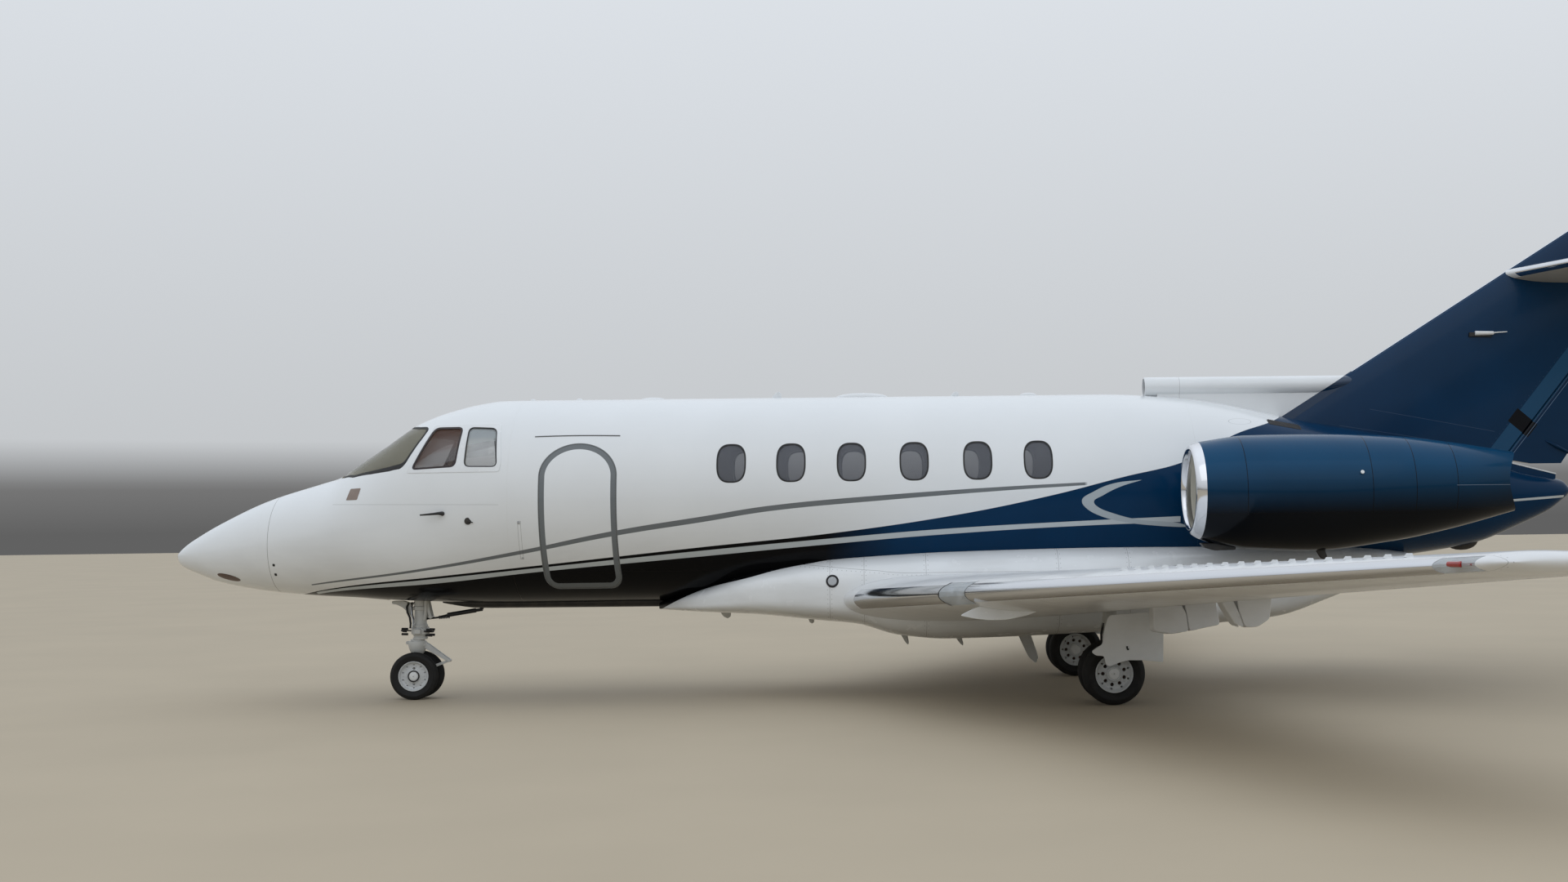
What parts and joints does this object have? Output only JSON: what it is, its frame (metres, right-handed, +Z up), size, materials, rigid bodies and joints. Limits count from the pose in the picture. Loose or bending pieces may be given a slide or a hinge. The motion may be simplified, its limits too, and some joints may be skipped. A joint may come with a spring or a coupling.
{
  "type": "business jet",
  "caption": "Twin-engined business jet with a low swept wing, rear-mounted engines, a mid-set tailplane on a swept fin and twin-wheel tricycle gear.",
  "frame": {"origin": "on the ground under the middle of the overall box of the parked aircraft", "axes": "+X towards the tail, +Y to starboard, +Z up"},
  "size_m": [15.5994, 15.66, 5.36],
  "materials": {
    "white_paint": "gloss",
    "navy_paint": "gloss",
    "wing_skin": "satin",
    "glazing": "clear",
    "gear_paint": "satin",
    "rim_paint": "satin",
    "tyre_rubber": "matte",
    "engine_metal": "satin",
    "trim": "matte",
    "seat_leather": "satin"
  },
  "bodies": {
    "airframe": {"radome": "white_paint", "nose_section": "white_paint", "cabin_shell": "white_paint", "rear_fuselage": "navy_paint", "tail_cone": "navy_paint", "wing_body_fairing": "white_paint", "dorsal_intake": "white_paint", "cockpit_floor": "trim", "cabin_floor": "trim", "crew_seats": "seat_leather", "instrument_panel": "trim", "fin": "navy_paint", "nose_leg_upper": "gear_paint", "cockpit_glazing_left": "glazing", "cockpit_glazing_right": "glazing", "cabin_glazing_left": "glazing", "cabin_glazing_right": "glazing", "cabin_seats_left": "seat_leather", "cabin_seats_right": "seat_leather", "wing_left": "wing_skin", "wing_right": "wing_skin", "tailplane_left": "navy_paint", "tailplane_right": "navy_paint", "nacelle_left": "navy_paint", "nacelle_right": "navy_paint", "engine_left": "engine_metal", "engine_right": "engine_metal", "pylon_left": "navy_paint", "pylon_right": "navy_paint", "main_leg_left": "gear_paint", "main_leg_right": "gear_paint", "main_leg_door_left": "white_paint", "main_leg_door_right": "white_paint"},
    "door": {"passenger_door": "white_paint"},
    "nose_steering_leg": {"nose_leg_lower": "gear_paint"},
    "nose_wheels": {"nose_rims": "rim_paint", "nose_tyre_left": "tyre_rubber", "nose_tyre_right": "tyre_rubber"},
    "main_wheels_left": {"main_rims_left": "rim_paint", "main_tyre_outer_left": "tyre_rubber", "main_tyre_inner_left": "tyre_rubber"},
    "main_wheels_right": {"main_rims_right": "rim_paint", "main_tyre_outer_right": "tyre_rubber", "main_tyre_inner_right": "tyre_rubber"},
    "fan_left": {"fan_left": "engine_metal"},
    "fan_right": {"fan_right": "engine_metal"},
    "rudder": {"rudder": "navy_paint"},
    "elevator_left": {"elevator_left": "navy_paint"},
    "elevator_right": {"elevator_right": "navy_paint"},
    "aileron_left": {"aileron_left": "wing_skin"},
    "aileron_right": {"aileron_right": "wing_skin"},
    "flap_left": {"flap_left": "wing_skin"},
    "flap_right": {"flap_right": "wing_skin"}
  },
  "joints": [
    {"name": "passenger_door_swing", "type": "hinge", "parent": "airframe", "child": "door", "pos_m": [-3.87, -0.541, 1.03], "axis": [1, 0, 0], "range_deg": [0, 110]},
    {"name": "nose_steering", "type": "hinge", "parent": "airframe", "child": "nose_steering_leg", "pos_m": [-5.55, 0, 0.5], "axis": [0, 0, 1], "range_deg": [-45, 45]},
    {"name": "nose_wheel_roll", "type": "hinge", "parent": "nose_steering_leg", "child": "nose_wheels", "pos_m": [-5.55, 0, 0.222], "axis": [0, 1, 0], "continuous": true},
    {"name": "main_wheel_roll_left", "type": "hinge", "parent": "airframe", "child": "main_wheels_left", "pos_m": [0.86, -1.395, 0.272], "axis": [0, 1, 0], "continuous": true},
    {"name": "main_wheel_roll_right", "type": "hinge", "parent": "airframe", "child": "main_wheels_right", "pos_m": [0.86, 1.395, 0.272], "axis": [0, 1, 0], "continuous": true},
    {"name": "fan_spin_left", "type": "hinge", "parent": "airframe", "child": "fan_left", "pos_m": [2.145, -1.56, 1.83], "axis": [1, 0, 0], "continuous": true},
    {"name": "fan_spin_right", "type": "hinge", "parent": "airframe", "child": "fan_right", "pos_m": [2.145, 1.56, 1.83], "axis": [1, 0, 0], "continuous": true},
    {"name": "rudder_turn", "type": "hinge", "parent": "airframe", "child": "rudder", "pos_m": [5.042, 0, 2.243], "axis": [0.6294, 0, 0.7771], "range_deg": [-25, 25]},
    {"name": "elevator_left_turn", "type": "hinge", "parent": "airframe", "child": "elevator_left", "pos_m": [6.94015, -3, 3.961], "axis": [-0.1933, 0.9811, 0], "range_deg": [-22, 15]},
    {"name": "elevator_right_turn", "type": "hinge", "parent": "airframe", "child": "elevator_right", "pos_m": [6.349, 0, 3.961], "axis": [0.1933, 0.9811, 0], "range_deg": [-22, 15]},
    {"name": "aileron_left_turn", "type": "hinge", "parent": "airframe", "child": "aileron_left", "pos_m": [2.64534, -7.48, 1.32685], "axis": [-0.262, 0.9628, -0.0664], "range_deg": [-20, 20]},
    {"name": "aileron_right_turn", "type": "hinge", "parent": "airframe", "child": "aileron_right", "pos_m": [1.95971, 4.96, 1.15316], "axis": [0.262, 0.9628, 0.0664], "range_deg": [-20, 20]},
    {"name": "flap_left_swing", "type": "hinge", "parent": "airframe", "child": "flap_left", "pos_m": [1.96898, -4.85, 0.96874], "axis": [-0.2566, 0.9634, -0.077], "range_deg": [0, 45]},
    {"name": "flap_right_swing", "type": "hinge", "parent": "airframe", "child": "flap_right", "pos_m": [0.97566, 1.12, 0.67045], "axis": [0.2566, 0.9634, 0.077], "range_deg": [0, 45]}
  ],
  "couplings": [
    {"joint": "elevator_right_turn", "follows": "elevator_left_turn", "ratio": 1},
    {"joint": "aileron_right_turn", "follows": "aileron_left_turn", "ratio": -1},
    {"joint": "flap_right_swing", "follows": "flap_left_swing", "ratio": 1}
  ]
}
